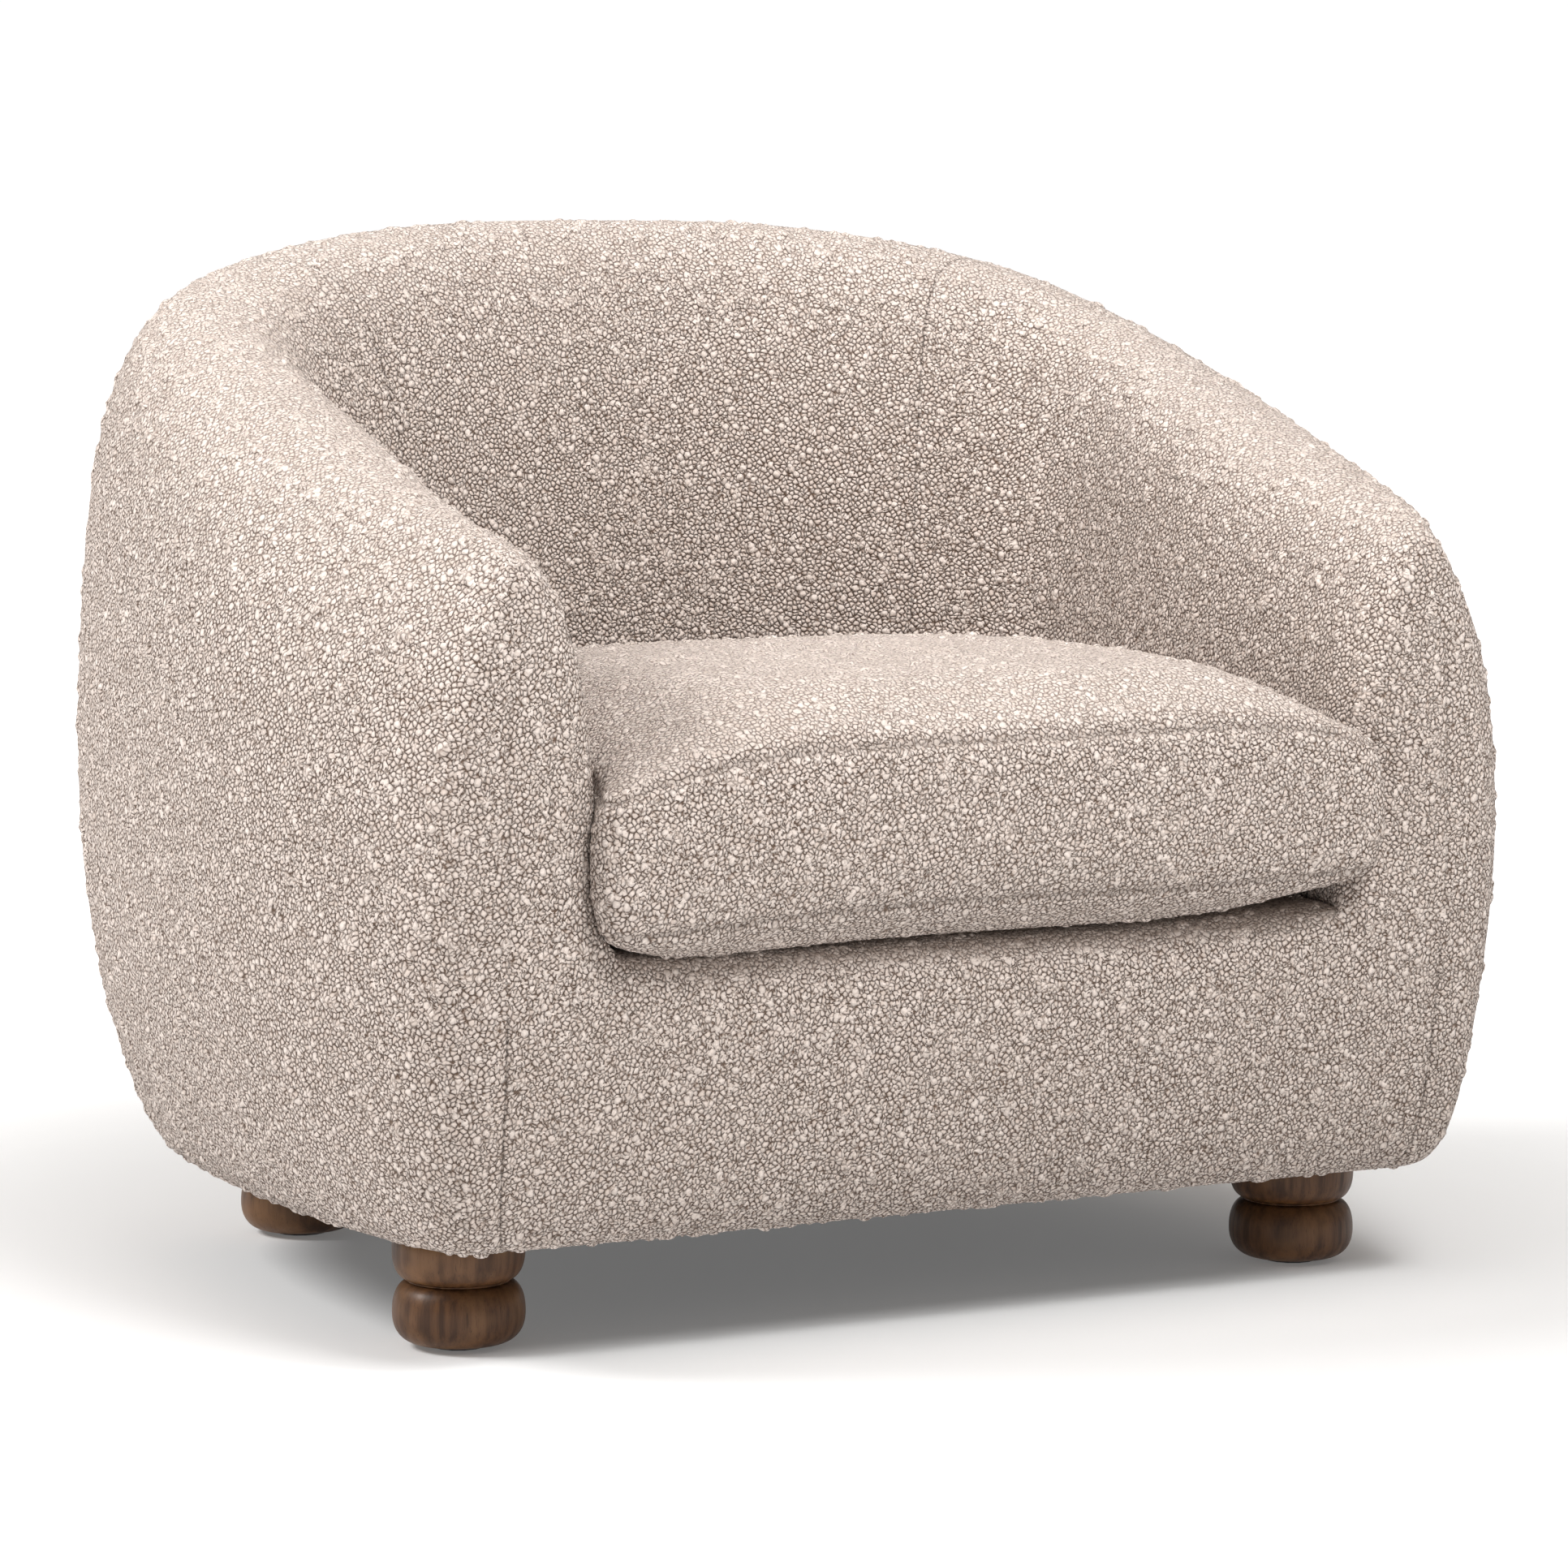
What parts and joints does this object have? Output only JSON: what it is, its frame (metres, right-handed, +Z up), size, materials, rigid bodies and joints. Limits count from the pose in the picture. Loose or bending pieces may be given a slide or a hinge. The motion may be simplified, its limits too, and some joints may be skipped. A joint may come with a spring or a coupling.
{
  "type": "upholstered armchair",
  "caption": "Barrel-shaped armchair in nubby looped cloth, one thick rolled wall for arms and back, loose boxed seat cushion and turned double-bun wooden feet.",
  "frame": {"origin": "on the floor, at the middle of the chair's width and depth", "axes": "+Z up, the chair faces -Y, +X to the right of someone looking at its front"},
  "size_m": [1.0656, 0.8181, 0.8327],
  "materials": {
    "cover_cloth": "nubby looped wool-look cloth, matt",
    "foam": "open-cell foam, matt",
    "foot_wood": "walnut-brown stain, satin",
    "frame_timber": "planed softwood, unfinished",
    "lining_cloth": "black non-woven lining, matt",
    "steel": "zinc plated",
    "glide_plastic": "moulded, matt"
  },
  "bodies": {
    "chair": {"arm_post_left": "frame_timber", "arm_post_right": "frame_timber", "arm_rail_left": "frame_timber", "arm_rail_right": "frame_timber", "back_post_left": "frame_timber", "back_post_right": "frame_timber", "bolt_front_left": "steel", "bolt_front_right": "steel", "bolt_rear_left": "steel", "bolt_rear_right": "steel", "corner_block_front_left": "frame_timber", "corner_block_front_right": "frame_timber", "corner_block_rear_left": "frame_timber", "corner_block_rear_right": "frame_timber", "cover_arm_left": "cover_cloth", "cover_arm_right": "cover_cloth", "cover_back": "cover_cloth", "cover_front": "cover_cloth", "crest_rail": "frame_timber", "deck_cloth": "lining_cloth", "deck_foam": "foam", "dust_cover": "lining_cloth", "foam_arm_left": "foam", "foam_arm_right": "foam", "foam_back": "foam", "foam_front": "foam", "foot_front_left": "foot_wood", "foot_front_right": "foot_wood", "foot_rear_left": "foot_wood", "foot_rear_right": "foot_wood", "glide_front_left": "glide_plastic", "glide_front_right": "glide_plastic", "glide_rear_left": "glide_plastic", "glide_rear_right": "glide_plastic", "rail_front": "frame_timber", "rail_left": "frame_timber", "rail_rear": "frame_timber", "rail_right": "frame_timber", "seat_rail_rear": "frame_timber", "spring_1": "steel", "spring_2": "steel", "spring_3": "steel", "spring_4": "steel", "spring_clip_front_1": "steel", "spring_clip_front_2": "steel", "spring_clip_front_3": "steel", "spring_clip_front_4": "steel", "spring_clip_rear_1": "steel", "spring_clip_rear_2": "steel", "spring_clip_rear_3": "steel", "spring_clip_rear_4": "steel"},
    "seat_cushion": {"cushion_bottom": "cover_cloth", "cushion_boxing": "cover_cloth", "cushion_core": "foam", "cushion_top": "cover_cloth", "cushion_zip_band": "cover_cloth"},
    "zip_slider": {"zip_slider": "steel"}
  },
  "joints": [
    {"name": "cushion_lift", "type": "slide", "parent": "chair", "child": "seat_cushion", "axis": [0, 0, 1], "range_m": [0, 0.35]},
    {"name": "zip_slide", "type": "slide", "parent": "seat_cushion", "child": "zip_slider", "axis": [1, 0, 0], "range_m": [0, 0.298]}
  ]
}
